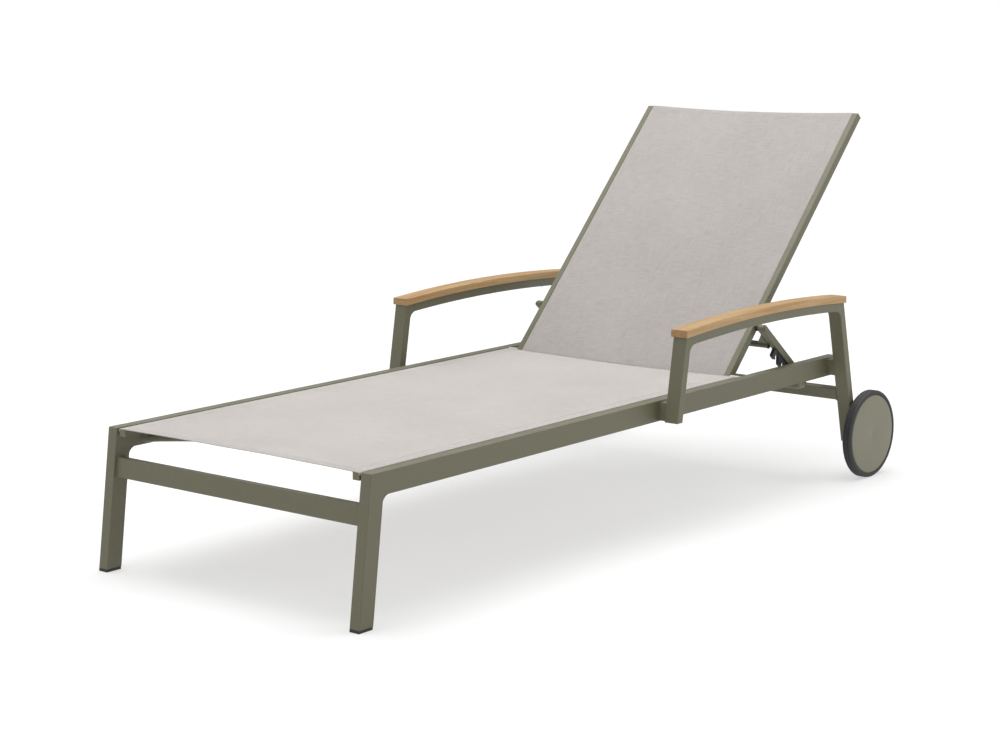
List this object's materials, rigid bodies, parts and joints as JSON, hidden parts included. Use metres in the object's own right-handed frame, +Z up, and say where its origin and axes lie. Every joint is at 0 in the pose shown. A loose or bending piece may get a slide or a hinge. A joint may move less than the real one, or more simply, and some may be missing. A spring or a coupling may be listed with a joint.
{
  "type": "sun lounger",
  "caption": "Reclining sun lounger with a welded tube frame, woven slings, wood-capped armrests, a backrest held by a notched bail, and wheels at the head end.",
  "frame": {"origin": "middle of the whole lounger's box in X and Y, on the ground", "axes": "+X towards the head end, the long way; +Y towards the user's right when lying on it; +Z up"},
  "size_m": [1.7672, 0.844, 0.8178],
  "materials": {
    "frame": "olive-grey fine-texture powder coat",
    "seat_fabric": "pale greige open-weave sling cloth, matt",
    "back_fabric": "pale greige open-weave sling cloth, matt",
    "teak": "light oiled teak, satin",
    "tyre": "charcoal rubber, matt",
    "black_plastic": "moulded black plastic, matt",
    "cap_plastic": "moulded olive-grey plastic, matt",
    "steel": "stainless steel, satin",
    "bush_plastic": "off-white bearing plastic, matt"
  },
  "bodies": {
    "frame": {"side_rail_left": "frame", "side_rail_right": "frame", "front_leg_left": "frame", "front_leg_right": "frame", "leg_glides": "black_plastic", "rail_end_caps": "black_plastic", "seat_track_left": "frame", "seat_track_right": "frame", "front_cross_rail": "frame", "foot_bow": "frame", "seat_middle_bar": "frame", "hinge_bar": "frame", "catch_pins": "frame", "flat_stops": "black_plastic", "seat_keder_rods": "black_plastic", "track_screws": "steel", "track_washers": "bush_plastic", "seat_sling": "seat_fabric", "arm_front_post_left": "frame", "arm_front_post_right": "frame", "arm_bar_left": "frame", "arm_bar_right": "frame", "rear_leg_left": "frame", "rear_leg_right": "frame", "axle_lugs": "frame", "teak_cap_left": "teak", "teak_cap_right": "teak", "arm_spacers": "frame", "arm_bolts": "steel", "teak_screws": "steel", "rear_cross_rail": "frame", "hinge_bolts": "steel", "hinge_bushes": "bush_plastic", "hinge_nuts": "steel", "wheel_axles": "steel", "axle_rings": "steel"},
    "backrest": {"backrest_rail_left": "frame", "backrest_rail_right": "frame", "backrest_lower_bar": "frame", "backrest_middle_bar": "frame", "backrest_top_bar": "frame", "backrest_caps": "cap_plastic", "backrest_keder_rods": "black_plastic", "backrest_sling": "back_fabric", "bail_pivot_bolts": "frame", "bail_washers": "black_plastic"},
    "support_bail": {"bail_arm_left": "frame", "bail_arm_right": "frame", "bail_racks": "black_plastic", "bail_upper_bar": "frame", "bail_lower_bar": "frame", "rack_screws": "steel"},
    "wheel_left": {"wheel_tyre_left": "tyre", "wheel_core_left": "black_plastic", "wheel_bush_left": "bush_plastic", "wheel_disc_left": "frame"},
    "wheel_right": {"wheel_tyre_right": "tyre", "wheel_core_right": "black_plastic", "wheel_bush_right": "bush_plastic", "wheel_disc_right": "frame"}
  },
  "joints": [
    {"name": "backrest_recline", "type": "hinge", "parent": "frame", "child": "backrest", "pos_m": [0.35475, 0, 0.271], "axis": [0, -1, 0], "range_deg": [-46, 0]},
    {"name": "bail_swing", "type": "hinge", "parent": "backrest", "child": "support_bail", "pos_m": [0.45626, 0, 0.37037], "axis": [0, -1, 0], "range_deg": [0, 79.8]},
    {"name": "wheel_left_roll", "type": "hinge", "parent": "frame", "child": "wheel_left", "pos_m": [0.75083, -0.411, 0.1], "axis": [0, 1, 0], "continuous": true},
    {"name": "wheel_right_roll", "type": "hinge", "parent": "frame", "child": "wheel_right", "pos_m": [0.75083, 0.411, 0.1], "axis": [0, 1, 0], "continuous": true}
  ],
  "couplings": [
    {"joint": "bail_swing", "follows": "backrest_recline", "ratio": -1.7348}
  ]
}
